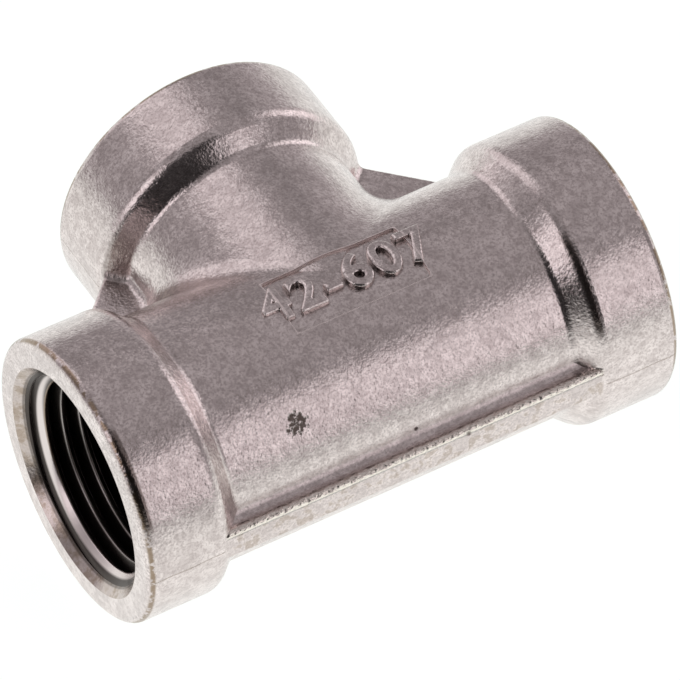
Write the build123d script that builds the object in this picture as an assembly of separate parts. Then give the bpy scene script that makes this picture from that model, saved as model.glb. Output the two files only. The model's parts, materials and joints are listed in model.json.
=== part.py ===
"""Threaded pipe tee: one hollow casting with a banded collar at each mouth.

The run lies along X and the branch points along +Y. Their axes cross at the
origin, and the mould parted on the plane of both axes, Z = 0.
Sizes are in millimetres.
"""
import os
from math import radians, sin, sqrt, tan

from build123d import *

# Reach of the mouths from the crossing of the axes
run_reach = 22.8
branch_reach = 22.8

# Outside: a plain body, and a thicker collar behind a sloping shoulder at each mouth
body_radius = 9.9
collar_radius = 11.4
collar_length = 6.5
shoulder_angle = 41.4
rim_rounding = 0.7
shoulder_rounding = 1.4
shoulder_fillet = 0.8

# The branch is this much slimmer than the run, so the crotches die out at the crown
crown_step = 0.1
crotch_fillet = 3.0

# Plate on the parting plane: a rib behind the run and a web in each crotch
plate_thickness = 2.7
rib_inset = 0.15
web_inset = 0.9
web_overlap = 0.35
plate_edge_rounding = 0.35
plate_root_fillet = 0.7

# Inside: a mouth chamfer, a thread bore cut to its major radius, and a cored passage
thread_major_radius = 8.53
thread_length = 11.0
mouth_chamfer = 0.67
passage_radius = 7.3
passage_cone_angle = 45.0
passage_crotch_fillet = 0.8

# Shallow field for raised characters, sunk into the top of the run
field_length = 11.5
field_width = 5.6
field_depth = 0.2
field_corner_rounding = 0.4
field_centre_x = 0.45
field_centre_y = -0.1

# Values that follow from the driving dimensions
branch_radius = body_radius - crown_step
half_thickness = plate_thickness / 2
rib_reach = collar_radius - rib_inset
web_reach = collar_radius - web_inset
run_shoulder = run_reach - collar_length
branch_shoulder = branch_reach - collar_length
step_height = collar_radius - body_radius
shoulder_length = step_height / tan(radians(shoulder_angle))
span = 2 * max(run_reach, branch_reach, collar_radius)

# Fillets as far as the walls that they run into allow
shoulder_slope = step_height / sin(radians(shoulder_angle))
shoulder_radii = [min(shoulder_fillet, shoulder_slope / 2), min(shoulder_rounding, shoulder_slope)]
plain_length = min(run_shoulder, branch_shoulder) - shoulder_length - shoulder_fillet / 2
crotch_radius = min(crotch_fillet, 0.9 * (plain_length - body_radius))
web_root_radius = min(plate_root_fillet, step_height / 2)


def outside_arm(reach, radius):
    """Outside of one arm along +X: body, shoulder, collar and rounded rim."""
    shoulder = reach - collar_length
    outer_line = FilletPolyline(
        (0, radius),
        (shoulder - shoulder_length, radius),
        (shoulder, collar_radius),
        (reach, collar_radius),
        (reach, 0),
        radius=[*shoulder_radii, rim_rounding],
    )
    axis_line = Polyline((reach, 0), (0, 0), (0, radius))
    return revolve(make_face([outer_line, axis_line]), Axis.X)


def bore_arm(reach, radius):
    """Air inside one arm along +X, ending just past its mouth."""
    thread_end = reach - thread_length
    cone_length = (thread_major_radius - radius) / tan(radians(passage_cone_angle))
    wall_line = Polyline(
        (0, 0),
        (0, radius),
        (thread_end - cone_length, radius),
        (thread_end, thread_major_radius),
        (reach - mouth_chamfer, thread_major_radius),
        (reach + mouth_chamfer, thread_major_radius + 2 * mouth_chamfer),
        (reach + mouth_chamfer, 0),
        (0, 0),
    )
    return revolve(make_face(wall_line), Axis.X)


def blended_corner(run_arm, branch_arm, radius):
    """The quarter x > 0, z > 0 of two arms that meet, with their crotch filleted."""
    quarter = Box(span, span * 2, span, align=(Align.MIN, Align.CENTER, Align.MIN))
    arms = (run_arm + branch_arm.rotate(Axis.Z, 90)) & quarter
    crotch = arms.edges().filter_by(GeomType.BSPLINE).sort_by(SortBy.LENGTH)[-1]
    return arms.fillet(radius, [crotch])


def web():
    """Quarter of the plate inside, with its outer edge across the crotch rounded."""
    run_end = run_shoulder + collar_length / 2
    branch_end = branch_shoulder + collar_length / 2
    outline = Polyline(
        (0, 0),
        (run_end, 0),
        (run_end, web_reach),
        (run_shoulder + web_overlap, web_reach),
        (web_reach, branch_shoulder + web_overlap),
        (web_reach, branch_end),
        (0, branch_end),
        (0, 0),
    )
    plate = extrude(make_face(outline), half_thickness)
    slanted = [edge for edge in plate.edges() if is_slanted(edge) and on_plate_top(edge)]
    return plate.fillet(plate_edge_rounding, slanted)


def is_slanted(edge):
    """True for a straight edge across the crotch, along neither X nor Y."""
    direction = edge.position_at(1) - edge.position_at(0)
    straight = edge.geom_type == GeomType.LINE
    return straight and min(abs(direction.X), abs(direction.Y)) > edge.length / 4


def on_plate_top(edge):
    """True for an edge that lies in the plate's upper face."""
    heights = [edge.position_at(place).Z for place in (0, 0.5, 1)]
    return all(abs(height - half_thickness) < 1e-4 for height in heights)


def with_web(corner):
    """Join the web to a quarter of the casting and fillet its root."""
    joined = corner + web()
    top_edges = [edge for edge in joined.edges() if on_plate_top(edge)]
    root = [edge for edge in top_edges if not is_slanted(edge) and edge.center().X > 1e-3]
    return joined.fillet(web_root_radius, root)


def rib():
    """Quarter of the rib: a bar behind the run, flared where it grows from the body."""
    to_fillet_centre = body_radius + plate_root_fillet
    fillet_rise = half_thickness + plate_root_fillet
    root = sqrt(to_fillet_centre**2 - fillet_rise**2)
    touch = body_radius / to_fillet_centre
    inner = body_radius / 2
    corner = rib_reach - plate_edge_rounding
    face = Line((rib_reach, 0), (rib_reach, half_thickness - plate_edge_rounding))
    edge = TangentArc(face @ 1, (corner, half_thickness), tangent=(0, 1))
    top = Line(edge @ 1, (root, half_thickness))
    flare = TangentArc(top @ 1, (root * touch, fillet_rise * touch), tangent=(-1, 0))
    back = Polyline(flare @ 1, (inner, fillet_rise * touch), (inner, 0), (rib_reach, 0))
    section = make_face([face, edge, top, flare, back])
    facing_back = Plane(origin=(0, 0, 0), x_dir=(0, -1, 0), z_dir=(-1, 0, 0))
    return extrude(facing_back * section, -(run_shoulder + collar_length / 2))


def bores():
    """Air of the three passages, with the sharp edges at their meeting rounded."""
    run_bore = bore_arm(run_reach, passage_radius)
    branch_bore = bore_arm(branch_reach, passage_radius - crown_step)
    corner = blended_corner(run_bore, branch_bore, passage_crotch_fillet)
    upper = corner + corner.mirror(Plane.YZ)
    return upper + upper.mirror(Plane.XY)


def field():
    """What is cut away to sink the field by its depth below the curved top."""
    outline = RectangleRounded(field_length, field_width, field_corner_rounding)
    prism = extrude(Pos(field_centre_x, field_centre_y) * outline, span)
    run_floor = Cylinder(body_radius - field_depth, span, rotation=(0, 90, 0))
    branch_floor = Cylinder(branch_radius - field_depth, span, rotation=(90, 0, 0))
    upper_branch = Pos(0, span / 2, 0) * branch_floor
    return prism - run_floor - upper_branch


def tee_body():
    """The whole casting."""
    run_arm = outside_arm(run_reach, body_radius)
    branch_arm = outside_arm(branch_reach, branch_radius)
    corner = with_web(blended_corner(run_arm, branch_arm, crotch_radius))
    upper = corner + corner.mirror(Plane.YZ)
    upper += rib() + rib().mirror(Plane.YZ)
    casting = upper + upper.mirror(Plane.XY)
    return casting - bores() - field()


os.makedirs("parts", exist_ok=True)
export_step(tee_body(), "parts/tee_body.step")
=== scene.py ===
"""Dresses the cast pipe tee and sets it on a pale floor in soft studio light."""
import json
from math import cos, floor, pi, radians, sin, sqrt, tan

import bmesh
import bpy
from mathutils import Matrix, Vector

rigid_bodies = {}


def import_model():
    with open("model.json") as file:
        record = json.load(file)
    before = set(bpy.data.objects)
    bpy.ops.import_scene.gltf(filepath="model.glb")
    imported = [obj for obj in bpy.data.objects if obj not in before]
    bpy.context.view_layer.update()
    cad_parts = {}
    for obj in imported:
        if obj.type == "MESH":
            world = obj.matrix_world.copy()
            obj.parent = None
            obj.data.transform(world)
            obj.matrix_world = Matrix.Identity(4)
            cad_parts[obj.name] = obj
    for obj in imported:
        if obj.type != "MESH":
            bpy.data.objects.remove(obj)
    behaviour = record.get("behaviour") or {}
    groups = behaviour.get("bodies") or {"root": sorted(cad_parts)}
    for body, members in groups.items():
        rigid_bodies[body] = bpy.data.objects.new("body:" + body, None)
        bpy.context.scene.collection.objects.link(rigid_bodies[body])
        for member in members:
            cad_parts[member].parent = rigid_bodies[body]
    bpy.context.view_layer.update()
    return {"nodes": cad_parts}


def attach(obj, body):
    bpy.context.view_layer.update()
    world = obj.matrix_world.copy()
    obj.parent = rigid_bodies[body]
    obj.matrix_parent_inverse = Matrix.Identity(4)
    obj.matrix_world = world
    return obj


for leftover in list(bpy.data.objects):
    bpy.data.objects.remove(leftover)
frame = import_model()

# Lengths are in metres, in the frame of the casting
MM = 0.001

# The photograph's view
CAMERA_AZIMUTH = -30.54
CAMERA_ELEVATION = 47.7
CAMERA_ROLL = 0.09
CAMERA_DISTANCE = 714.1 * MM
CAMERA_LENS = 506.7
CAMERA_TARGET = Vector((0.783, 1.301, 1.382)) * MM

# The casting's sizes that the pieces and finishes follow, in millimetres
RUN_REACH = 22.8
BRANCH_REACH = 22.8
COLLAR_RADIUS = 11.4
COLLAR_LENGTH = 6.5
RUN_FIELD_RADIUS = 9.7
BRANCH_FIELD_RADIUS = 9.6
BORE_RADIUS = 8.53
CHAMFER = 0.67
THREAD_LENGTH = 11.0
RIB_FACE = 11.25

# The pipe thread: eighteen turns to the inch, with flanks at 30 degrees
PITCH = 25.4 / 18
FLANK = radians(30)
THREAD_HEIGHT = 1.06
CREST_ROUNDING = 0.08

# Raised numbers in the field on top of the run, in millimetres
NUMBERS = "42-607"
NUMBER_HEIGHT = 3.2
NUMBER_SPACING = 1.12
NUMBER_STROKE = -0.03
NUMBER_BEVEL = 0.2
NUMBER_RISE = 0.5
FIELD_PLACE = (0.45, -0.1)


def add_camera():
    """A long lens at the photograph's viewing angle."""
    azimuth = radians(CAMERA_AZIMUTH)
    elevation = radians(CAMERA_ELEVATION)
    back = Vector((sin(azimuth) * cos(elevation), -cos(azimuth) * cos(elevation), sin(elevation)))
    data = bpy.data.cameras.new("camera")
    data.lens = CAMERA_LENS
    data.sensor_width = 36
    data.clip_start = 10 * MM
    data.clip_end = 10
    camera = bpy.data.objects.new("camera", data)
    bpy.context.scene.collection.objects.link(camera)
    camera.location = CAMERA_TARGET + back * CAMERA_DISTANCE
    turn = back.to_track_quat("Z", "Y").to_matrix().to_4x4()
    camera.rotation_euler = turn.to_euler()
    camera.rotation_euler.rotate_axis("Z", radians(CAMERA_ROLL))
    bpy.context.scene.camera = camera


# Small steps that the node trees are built from

def fill(tree, socket, value):
    """Give a node's input a socket to follow or a plain value."""
    if isinstance(value, bpy.types.NodeSocket):
        tree.links.new(value, socket)
    else:
        socket.default_value = value


def calc(tree, operation, *values):
    """One step of arithmetic."""
    node = tree.nodes.new("ShaderNodeMath")
    node.operation = operation
    for number, value in enumerate(values):
        fill(tree, node.inputs[number], value)
    return node.outputs[0]


def blend(tree, value, start, end, low=0.0, high=1.0):
    """A soft step from low to high as the value goes from start to end."""
    node = tree.nodes.new("ShaderNodeMapRange")
    node.interpolation_type = "SMOOTHSTEP"
    fill(tree, node.inputs["Value"], value)
    for name, amount in zip(("From Min", "From Max", "To Min", "To Max"), (start, end, low, high)):
        fill(tree, node.inputs[name], amount)
    return node.outputs[0]


def vector_step(tree, operation, first, second, output="Vector"):
    """One step of vector arithmetic."""
    node = tree.nodes.new("ShaderNodeVectorMath")
    node.operation = operation
    fill(tree, node.inputs[0], first)
    second_input = "Scale" if operation == "SCALE" else 1
    fill(tree, node.inputs[second_input], second)
    return node.outputs[output]


def mix(tree, amount, first, second):
    """A colour between two."""
    node = tree.nodes.new("ShaderNodeMix")
    node.data_type = "RGBA"
    fill(tree, node.inputs[0], amount)
    for socket, value in ((node.inputs[6], first), (node.inputs[7], second)):
        fill(tree, socket, value if isinstance(value, bpy.types.NodeSocket) else (*value, 1.0))
    return node.outputs[2]


def noise(tree, place, scale, detail=2.0, roughness=0.5):
    """Cloudy noise; the scale is in waves per unit of the place."""
    node = tree.nodes.new("ShaderNodeTexNoise")
    fill(tree, node.inputs["Vector"], place)
    node.inputs["Scale"].default_value = scale
    node.inputs["Detail"].default_value = detail
    node.inputs["Roughness"].default_value = roughness
    return node.outputs["Fac"]


def new_material(name):
    """A material with a Principled shader; also gives its tree and shader."""
    material = bpy.data.materials.new(name)
    material.use_nodes = True
    tree = material.node_tree
    return material, tree, tree.nodes["Principled BSDF"]


def add_bump(tree, shader, layers):
    """Stack the bump layers, each a height and the distance in metres that it spans."""
    normal = None
    for height, distance in layers:
        node = tree.nodes.new("ShaderNodeBump")
        node.inputs["Distance"].default_value = distance
        fill(tree, node.inputs["Height"], height)
        if normal is not None:
            tree.links.new(normal, node.inputs["Normal"])
        normal = node.outputs["Normal"]
    tree.links.new(normal, shader.inputs["Normal"])


def place_in_mm(tree):
    """The point on the casting, in millimetres."""
    coordinates = tree.nodes.new("ShaderNodeTexCoord")
    return vector_step(tree, "SCALE", coordinates.outputs["Object"], 1000.0)


def split(tree, place):
    """The three parts of a point."""
    node = tree.nodes.new("ShaderNodeSeparateXYZ")
    tree.links.new(place, node.inputs[0])
    return node.outputs


def mouth_measures(tree, place):
    """How deep a point lies behind the nearest mouth, and how far from that arm's axis."""
    x, y, z = split(tree, place)
    run_depth = calc(tree, "SUBTRACT", RUN_REACH, calc(tree, "ABSOLUTE", x))
    branch_depth = calc(tree, "SUBTRACT", BRANCH_REACH, y)
    z_square = calc(tree, "MULTIPLY", z, z)
    run_radius = calc(tree, "SQRT", calc(tree, "MULTIPLY_ADD", y, y, z_square))
    branch_radius = calc(tree, "SQRT", calc(tree, "MULTIPLY_ADD", x, x, z_square))
    on_branch = calc(tree, "LESS_THAN", branch_depth, run_depth)
    on_run = calc(tree, "SUBTRACT", 1.0, on_branch)
    depth = calc(tree, "MINIMUM", run_depth, branch_depth)
    radius = calc(tree, "MULTIPLY_ADD", branch_radius, on_branch, calc(tree, "MULTIPLY", run_radius, on_run))
    return depth, radius


def both(tree, *masks):
    """Where all the masks hold."""
    result = masks[0]
    for mask in masks[1:]:
        result = calc(tree, "MULTIPLY", result, mask)
    return result


def either(tree, *masks):
    """Where any of the masks holds."""
    result = masks[0]
    for mask in masks[1:]:
        result = calc(tree, "MAXIMUM", result, mask)
    return result


def near_spot(tree, place, spot, inner, outer):
    """One at a spot of the surface, fading to nought at the outer distance."""
    distance = vector_step(tree, "DISTANCE", place, spot, "Value")
    return blend(tree, distance, inner, outer, 1.0, 0.0)


def openness(tree, distance):
    """How open a point is: one on a plain surface and less in a crevice."""
    node = tree.nodes.new("ShaderNodeAmbientOcclusion")
    node.samples = 6
    node.inputs["Distance"].default_value = distance
    return node.outputs["AO"]


STEEL = (0.91, 0.82, 0.80)
STEEL_DARK = (0.80, 0.72, 0.70)
SPECK = (0.45, 0.385, 0.375)
# Colour of a painted highlight
PAINTED_HIGHLIGHT = (0.95, 0.88, 0.8)
BROWN = (0.27, 0.19, 0.12)
# Near-black for painted shade
PAINTED_SHADE = (0.05, 0.04, 0.035)
# Dark of pits and nicks, also used for painted dark reflection and a darker patch
PIT_AND_PAINTED_REFLECTION = (0.1, 0.07, 0.055)


def cast_steel():
    """Blasted cast stainless: grained, a little uneven, brown at the turned edges, with painted shade in
    crevices and the bores, painted dark reflections and a painted highlight on the rib's edge.
    """
    material, tree, shader = new_material("cast_steel_with_painted_light")
    place = place_in_mm(tree)
    x, y, z = split(tree, place)
    depth, radius = mouth_measures(tree, place)

    grain = noise(tree, place, 4.6, 2.0, 0.6)
    lumps = noise(tree, place, 1.1, 2.0, 0.5)
    clouds = noise(tree, place, 0.32, 3.0, 0.6)
    specks = noise(tree, place, 4.8, 2.0, 0.7)
    mottle = noise(tree, place, 2.0, 3.0, 0.7)
    patches = noise(tree, place, 0.9, 3.0, 0.7)

    inside = blend(tree, radius, BORE_RADIUS + 0.1, BORE_RADIUS + 0.2, 1.0, 0.0)
    chamfer = both(tree, blend(tree, radius, 9.2, 9.26, 1.0, 0.0), blend(tree, depth, 0.72, 0.82, 1.0, 0.0))
    face = blend(tree, depth, 0.02, 0.06, 1.0, 0.0)
    turned = either(tree, inside, chamfer, face)

    # The rounded rim is worn brown in a thin broken line
    rim = both(tree, blend(tree, depth, 0.1, 0.25), blend(tree, depth, 0.4, 0.6, 1.0, 0.0))
    rim = both(tree, rim, blend(tree, radius, 10.7, 11.0), blend(tree, patches, 0.42, 0.5))

    # Painted dark reflections: darkened stretches along the front of the left rim and of the right shoulder
    painted_dark_reflection = both(tree, blend(tree, y, -4.3, -5.6), blend(tree, z, 3.9, 5.0), blend(tree, radius, 10.9, 11.1))
    on_rim = both(tree, blend(tree, depth, 0.2, 0.45), blend(tree, depth, 0.8, 1.0, 1.0, 0.0), blend(tree, x, 0.1, -0.1))
    on_shoulder = both(tree, blend(tree, depth, 6.1, 6.3), blend(tree, depth, 6.6, 6.85, 1.0, 0.0), blend(tree, x, -0.1, 0.1))
    painted_dark_reflection = both(tree, painted_dark_reflection, either(tree, on_rim, on_shoulder))

    # The branch's shoulder is darker towards the left web
    darker_patch = both(tree, blend(tree, y, 14.5, 14.8), blend(tree, y, 16.4, 16.1), blend(tree, x, -8.0, -9.6))
    darker_patch = both(tree, darker_patch, blend(tree, z, 0.9, 1.5), blend(tree, z, 6.5, 4.5))

    # Pits and nicks that the casting came out of the mould with
    cluster = near_spot(tree, place, (-8.3, -7.9, 6.0), 0.4, 2.0)
    cluster = blend(tree, calc(tree, "MULTIPLY", cluster, noise(tree, place, 3.2, 2.0, 0.6)), 0.38, 0.5)
    small_pit = near_spot(tree, place, (0.83, -9.69, 2.0), 0.05, 0.2)
    nick = near_spot(tree, place, (4.47, -11.3, 0.95), 0.05, 0.3)
    pits = either(tree, cluster, small_pit, nick)

    # The mould's parting line shows on the collars
    wobble = calc(tree, "MULTIPLY_ADD", noise(tree, place, 0.5), 0.3, -0.35)
    line_gap = calc(tree, "ABSOLUTE", calc(tree, "SUBTRACT", z, wobble))
    seam = both(tree, blend(tree, line_gap, 0.02, 0.08, 1.0, 0.0), blend(tree, radius, 11.3, 11.35))

    # The rib's upper edge is rough and carries a painted highlight, and its face is mottled brown
    behind = blend(tree, y, -RIB_FACE + 0.7, -RIB_FACE + 0.4)
    behind = both(tree, behind, blend(tree, depth, COLLAR_LENGTH, COLLAR_LENGTH + 0.3))
    edge_gap = calc(tree, "ABSOLUTE", calc(tree, "SUBTRACT", z, 1.15))
    rib_edge = both(tree, behind, blend(tree, edge_gap, 0.15, 0.35, 1.0, 0.0))
    rib_face = both(tree, behind, blend(tree, z, 1.1, 0.9))
    rib_root = both(tree, blend(tree, y, -8.6, -9.1), blend(tree, z, 2.7, 2.1), blend(tree, z, 1.3, 1.45))
    rib_root = both(tree, rib_root, blend(tree, depth, COLLAR_LENGTH, COLLAR_LENGTH + 0.3))

    # The field's walls are worn dull
    across = calc(tree, "ABSOLUTE", calc(tree, "SUBTRACT", x, FIELD_PLACE[0]))
    along = calc(tree, "ABSOLUTE", calc(tree, "SUBTRACT", y, FIELD_PLACE[1]))
    lip = either(tree, blend(tree, across, 5.62, 5.72), blend(tree, along, 2.68, 2.76))
    near_field = both(tree, blend(tree, across, 5.78, 5.86, 1.0, 0.0), blend(tree, along, 2.83, 2.9, 1.0, 0.0))
    near_field = both(tree, near_field, blend(tree, z, 7.0, 7.5))
    lip = both(tree, lip, near_field)

    tint = mix(tree, blend(tree, clouds, 0.35, 0.7), STEEL_DARK, STEEL)
    tint = mix(tree, blend(tree, patches, 0.6, 0.36, 0.0, 0.4), tint, SPECK)
    # Mottling and specks are fainter towards the bottom
    height_fade = blend(tree, z, -5.0, 4.0, 0.45, 1.0)
    tint = mix(tree, both(tree, height_fade, blend(tree, mottle, 0.56, 0.34, 0.0, 0.45)), tint, SPECK)
    tint = mix(tree, both(tree, height_fade, blend(tree, specks, 0.55, 0.36, 0.0, 0.65)), tint, SPECK)
    # Painted shade: crevices are darkened towards near-black by how closed in they are, three times as
    # strongly round the numbers' field, and not on the field's lip
    crevice_shade = blend(tree, openness(tree, 0.7 * MM), 0.75, 0.3)
    crevice_shade = both(tree, crevice_shade, calc(tree, "SUBTRACT", 1.0, lip))
    painted_shade_strength = calc(tree, "MULTIPLY_ADD", near_field, 0.5, 0.25)
    tint = mix(tree, calc(tree, "MULTIPLY", crevice_shade, painted_shade_strength), tint, PAINTED_SHADE)
    brown = both(tree, chamfer, blend(tree, patches, 0.42, 0.62, 0.25, 0.8))
    brown = either(tree, brown, rim)
    brown = either(tree, brown, both(tree, rib_face, blend(tree, patches, 0.5, 0.6, 0.0, 0.5)))
    tint = mix(tree, calc(tree, "MULTIPLY", brown, 0.85), tint, BROWN)
    tint = mix(tree, calc(tree, "MULTIPLY", seam, 0.4), tint, BROWN)
    tint = mix(tree, calc(tree, "MULTIPLY", lip, 0.8), tint, STEEL)
    # Painted highlight along the rib's upper edge
    tint = mix(tree, calc(tree, "MULTIPLY", rib_edge, 0.85), tint, PAINTED_HIGHLIGHT)
    # Painted dark reflection on the left rim and the right shoulder
    tint = mix(tree, calc(tree, "MULTIPLY", painted_dark_reflection, 0.75), tint, PIT_AND_PAINTED_REFLECTION)
    tint = mix(tree, calc(tree, "MULTIPLY", darker_patch, 0.45), tint, PIT_AND_PAINTED_REFLECTION)
    tint = mix(tree, calc(tree, "MULTIPLY", pits, 0.85), tint, PIT_AND_PAINTED_REFLECTION)
    # Painted shade: the bore's walls are darkened towards near-black
    tint = mix(tree, calc(tree, "MULTIPLY", inside, 0.6), tint, PAINTED_SHADE)
    tree.links.new(tint, shader.inputs["Base Color"])

    rough = blend(tree, clouds, 0.3, 0.7, 0.17, 0.24)
    rough = calc(tree, "MULTIPLY_ADD", specks, 0.1, calc(tree, "SUBTRACT", rough, 0.05))
    rough = calc(tree, "MULTIPLY_ADD", either(tree, lip, pits), 0.35, rough)
    rough = calc(tree, "MULTIPLY_ADD", rib_root, 0.12, rough)
    tree.links.new(rough, shader.inputs["Roughness"])
    shader.inputs["Metallic"].default_value = 1.0

    cast = calc(tree, "SUBTRACT", 1.0, calc(tree, "MULTIPLY", turned, 0.7))
    coarse = calc(tree, "MULTIPLY", rib_edge, noise(tree, place, 2.6, 2.0))
    add_bump(tree, shader, [
        (calc(tree, "MULTIPLY", lumps, cast), 0.03 * MM),
        (calc(tree, "MULTIPLY", grain, cast), 0.03 * MM),
        (coarse, 0.2 * MM),
        (calc(tree, "MULTIPLY", seam, -1.0), 0.02 * MM),
        (calc(tree, "MULTIPLY", pits, -1.0), 0.15 * MM),
    ])
    return material


def thread_steel():
    """Steel as the tap left it, finely scored along the turns, with painted shade that keeps it dark and
    near-black in the grooves.
    """
    material, tree, shader = new_material("tapped_steel_with_painted_shade")
    place = place_in_mm(tree)
    depth, radius = mouth_measures(tree, place)
    first_turn = both(tree, blend(tree, depth, 1.6, 1.8, 1.0, 0.0), blend(tree, radius, 8.2, 8.0))
    worn_edge = both(tree, blend(tree, depth, 1.9, 2.1, 1.0, 0.0), blend(tree, radius, 7.62, 7.52))
    groove = blend(tree, radius, 7.5, 7.62)
    scoring = noise(tree, place, 3.0, 3.0, 0.7)
    # Painted shade: the thread is tinted dark and near-black in the grooves, while its first turn at the mouth
    # keeps the plain steel colour
    tint = mix(tree, scoring, (0.3, 0.27, 0.26), (0.5, 0.46, 0.44))
    tint = mix(tree, calc(tree, "MULTIPLY", groove, 0.9), tint, PAINTED_SHADE)
    tint = mix(tree, calc(tree, "MULTIPLY", first_turn, 0.85), tint, STEEL)
    tint = mix(tree, calc(tree, "MULTIPLY", worn_edge, 0.7), tint, BROWN)
    tree.links.new(tint, shader.inputs["Base Color"])
    shader.inputs["Metallic"].default_value = 1.0
    shader.inputs["Roughness"].default_value = 0.3
    add_bump(tree, shader, [(scoring, 0.01 * MM)])
    return material


def thread_profile(offset):
    """Radius of the thread's wall at an axial offset from the middle of a ridge."""
    distance = abs(offset)
    half_height = PITCH / 4 / tan(FLANK)
    middle = BORE_RADIUS - THREAD_HEIGHT / 2
    to_centre = half_height - CREST_ROUNDING / sin(FLANK)
    reach = CREST_ROUNDING * cos(FLANK)
    if distance < reach:
        return middle - to_centre - sqrt(CREST_ROUNDING**2 - distance**2)
    if PITCH / 2 - distance < reach:
        return middle + to_centre + sqrt(CREST_ROUNDING**2 - (PITCH / 2 - distance) ** 2)
    return middle - half_height + distance / tan(FLANK)


def thread(name, origin, inward, reference):
    """The ridge of a tapped thread, wound right-handed from a mouth inward."""
    steps = 96
    turns = THREAD_LENGTH / PITCH + 0.9
    columns = 16
    mesh = bpy.data.meshes.new(name)
    side = inward.cross(reference)
    rows = []
    build = bmesh.new()
    for step in range(floor(turns * steps) + 1):
        angle = 2 * pi * step / steps
        centre = PITCH * (step / steps - 0.46)
        row = []
        for column in range(columns + 1):
            offset = PITCH * (column / columns - 0.5)
            depth = max(centre + offset, CHAMFER - 0.1)
            radius = max(thread_profile(offset), BORE_RADIUS + CHAMFER - depth)
            if depth < CHAMFER or column in (0, columns):
                radius += 0.02
            around = reference * cos(angle) + side * sin(angle)
            row.append(build.verts.new((origin + inward * depth + around * radius) * MM))
        rows.append(row)
    for before, after in zip(rows, rows[1:]):
        for column in range(columns):
            corners = (before[column], after[column], after[column + 1], before[column + 1])
            build.faces.new(corners).smooth = True
    build.normal_update()
    build.to_mesh(mesh)
    build.free()
    return bpy.data.objects.new(name, mesh)


def add_threads(material):
    """One thread in each mouth."""
    mouths = (
        ("thread_left", Vector((-RUN_REACH, 0, 0)), Vector((1, 0, 0))),
        ("thread_right", Vector((RUN_REACH, 0, 0)), Vector((-1, 0, 0))),
        ("thread_branch", Vector((0, BRANCH_REACH, 0)), Vector((0, -1, 0))),
    )
    for name, origin, inward in mouths:
        piece = thread(name, origin, inward, Vector((0, 0, 1)))
        piece.data.materials.append(material)
        bpy.context.scene.collection.objects.link(piece)
        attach(piece, "root")


def field_height(x, y):
    """Height of the field's floor above the axes, in millimetres."""
    run = sqrt(RUN_FIELD_RADIUS**2 - y**2)
    if y < 0:
        return run
    branch = sqrt(BRANCH_FIELD_RADIUS**2 - x**2)
    gap = run - branch
    return (run + branch + sqrt(gap**2 + 0.02)) / 2


def add_numbers(material):
    """Plain numbers cast proud of the field's floor."""
    curve = bpy.data.curves.new("numbers", "FONT")
    curve.body = NUMBERS
    curve.align_x = "CENTER"
    curve.align_y = "CENTER"
    curve.size = NUMBER_HEIGHT / 0.7
    curve.space_character = NUMBER_SPACING
    curve.extrude = 0.2
    curve.bevel_depth = NUMBER_BEVEL
    curve.bevel_resolution = 2
    curve.offset = NUMBER_STROKE
    flat = bpy.data.objects.new("numbers_flat", curve)
    bpy.context.scene.collection.objects.link(flat)
    bpy.context.view_layer.update()
    mesh = bpy.data.meshes.new_from_object(flat)
    bpy.data.objects.remove(flat)
    piece = bpy.data.objects.new("numbers", mesh)
    bpy.context.scene.collection.objects.link(piece)
    remesh = piece.modifiers.new("even", "REMESH")
    remesh.mode = "VOXEL"
    remesh.voxel_size = 0.06
    soften = piece.modifiers.new("soften", "SMOOTH")
    soften.factor = 0.5
    soften.iterations = 6
    bpy.context.view_layer.update()
    shaped = bpy.data.meshes.new_from_object(piece.evaluated_get(bpy.context.evaluated_depsgraph_get()))
    piece.modifiers.clear()
    piece.data = shaped
    top = max(vertex.co.z for vertex in shaped.vertices)
    for vertex in shaped.vertices:
        x = vertex.co.x + FIELD_PLACE[0]
        y = vertex.co.y + FIELD_PLACE[1]
        z = field_height(x, y) + vertex.co.z - top + NUMBER_RISE
        vertex.co = Vector((x, y, z)) * MM
    for polygon in shaped.polygons:
        polygon.use_smooth = True
    shaped.materials.clear()
    shaped.materials.append(material)
    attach(piece, "root")


# The soft studio round the table: a grey tent with brighter walls and the dark
# opening that the picture was taken through. Each patch has its azimuth and
# elevation, half its width and height in degrees, and what it adds.

TENT_LEVEL = 0.27
TENT_TINT = (1.05, 0.98, 1.01)
OPENING = ((-27, 16, 36, 22, 6), (-28, 46, 26, 22, 8), (-54, 6, 20, 12, 6))
OPENING_LEVEL = 0.03
WALLS = (
    ((-82, 35, 14, 22, 8), 0.80),
    ((-90, 8, 18, 14, 12), 0.22),
    ((26, 22, 12, 22, 6), 0.68),
    ((56, 12, 22, 20, 14), 0.05),
    ((96, 15, 14, 26, 10), 0.86),
    ((-169, 28, 17, 33, 12), 0.56),
    ((-140, 26, 14, 24, 12), 0.14),
    ((132, 14, 26, 16, 12), 0.12),
    ((100, 68, 40, 16, 14), 0.10),
)


def patch(tree, direction, azimuth, elevation, half_width, half_height, softness):
    """A soft-edged rectangle of the surroundings: one inside it and nought outside."""
    turn = radians(azimuth)
    tilt = radians(elevation)
    ahead = Vector((sin(turn) * cos(tilt), -cos(turn) * cos(tilt), sin(tilt)))
    right = Vector((cos(turn), sin(turn), 0))
    up = right.cross(ahead) * -1
    forward = vector_step(tree, "DOT_PRODUCT", direction, ahead, "Value")
    mask = blend(tree, forward, 0.02, 0.1)
    safe = calc(tree, "MAXIMUM", forward, 0.02)
    for axis, half in ((right, half_width), (up, half_height)):
        across = vector_step(tree, "DOT_PRODUCT", direction, axis, "Value")
        slope = calc(tree, "ABSOLUTE", calc(tree, "DIVIDE", across, safe))
        inner = tan(radians(max(half - softness / 2, 1)))
        outer = tan(radians(min(half + softness / 2, 85)))
        mask = calc(tree, "MULTIPLY", mask, blend(tree, slope, inner, outer, 1.0, 0.0))
    return mask


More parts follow.
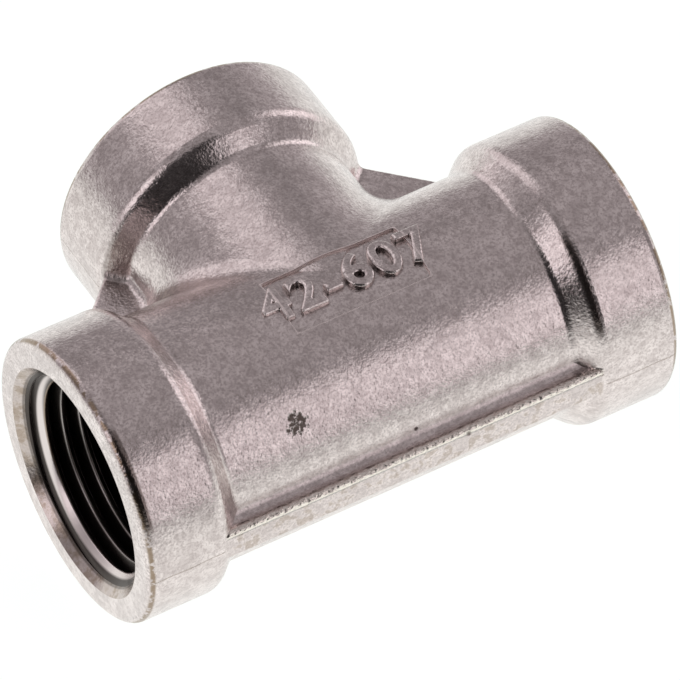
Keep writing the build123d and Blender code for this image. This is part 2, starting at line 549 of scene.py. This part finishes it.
def add_surroundings():
    """Light from all round, shaped like a small photo tent."""
    world = bpy.data.worlds.new("studio")
    world.use_nodes = True
    bpy.context.scene.world = world
    tree = world.node_tree
    background = tree.nodes["Background"]
    direction = tree.nodes.new("ShaderNodeTexCoord").outputs["Generated"]
    height = split(tree, direction)[2]
    level = blend(tree, height, 0.3, -0.1, TENT_LEVEL, TENT_LEVEL + 0.2)
    for shape, amount in WALLS:
        mask = patch(tree, direction, *shape)
        level = calc(tree, "MULTIPLY_ADD", mask, amount, level)
    opening = either(tree, *(patch(tree, direction, *shape) for shape in OPENING))
    shut = calc(tree, "SUBTRACT", 1.0, opening)
    dim = calc(tree, "MULTIPLY", opening, OPENING_LEVEL)
    level = calc(tree, "MULTIPLY_ADD", level, shut, dim)
    colour = vector_step(tree, "SCALE", TENT_TINT, level)
    tree.links.new(colour, background.inputs["Color"])


def add_floor():
    """A wide white floor that keeps the faint shadow of what stands on it."""
    build = bmesh.new()
    bmesh.ops.create_circle(build, cap_ends=True, segments=96, radius=3.0)
    mesh = bpy.data.meshes.new("floor")
    build.to_mesh(mesh)
    build.free()
    ground = bpy.data.objects.new("floor", mesh)
    ground.location.z = -COLLAR_RADIUS * MM
    bpy.context.scene.collection.objects.link(ground)
    material, tree, shader = new_material("white_floor")
    shader.inputs["Base Color"].default_value = (0.9, 0.9, 0.9, 1.0)
    shader.inputs["Roughness"].default_value = 0.7
    shader.inputs["Specular IOR Level"].default_value = 0.2
    place = place_in_mm(tree)
    distance = vector_step(tree, "LENGTH", place, (0, 0, 0), "Value")
    # Painted light on the floor: its glow is brightest round the casting, falls off far away and is painted
    # into shade towards the front
    painted_falloff = blend(tree, distance, 45, 160, 0.93, 0.74)
    toward_front = vector_step(tree, "DOT_PRODUCT", place, (sin(radians(-20)), -cos(radians(-20)), 0), "Value")
    painted_falloff = calc(tree, "MULTIPLY", painted_falloff, blend(tree, toward_front, 20, 140, 1.0, 0.5))
    paths = tree.nodes.new("ShaderNodeLightPath")
    seen = either(tree, paths.outputs["Is Camera Ray"], paths.outputs["Is Glossy Ray"])
    seen = either(tree, seen, paths.outputs["Is Transmission Ray"])
    glow = tree.nodes.new("ShaderNodeEmission")
    glow.inputs["Color"].default_value = (0.985, 1.02, 0.995, 1.0)
    tree.links.new(calc(tree, "MULTIPLY", seen, painted_falloff), glow.inputs["Strength"])
    shade = tree.nodes.new("ShaderNodeMixShader")
    plain = calc(tree, "MULTIPLY", seen, 0.72)
    dark = tree.nodes.new("ShaderNodeBsdfDiffuse")
    dark.inputs["Color"].default_value = (0.0, 0.0, 0.0, 1.0)
    tree.links.new(plain, shade.inputs[0])
    tree.links.new(shader.outputs[0], shade.inputs[1])
    tree.links.new(dark.outputs[0], shade.inputs[2])
    total = tree.nodes.new("ShaderNodeAddShader")
    tree.links.new(shade.outputs[0], total.inputs[0])
    tree.links.new(glow.outputs[0], total.inputs[1])
    tree.links.new(total.outputs[0], tree.nodes["Material Output"].inputs["Surface"])
    mesh.materials.append(material)


add_camera()
add_surroundings()
add_floor()

steel = cast_steel()
body = frame["nodes"]["tee_body"]
body.data.materials.clear()
body.data.materials.append(steel)
add_threads(thread_steel())
add_numbers(steel)

bpy.context.scene.view_settings.view_transform = "Standard"
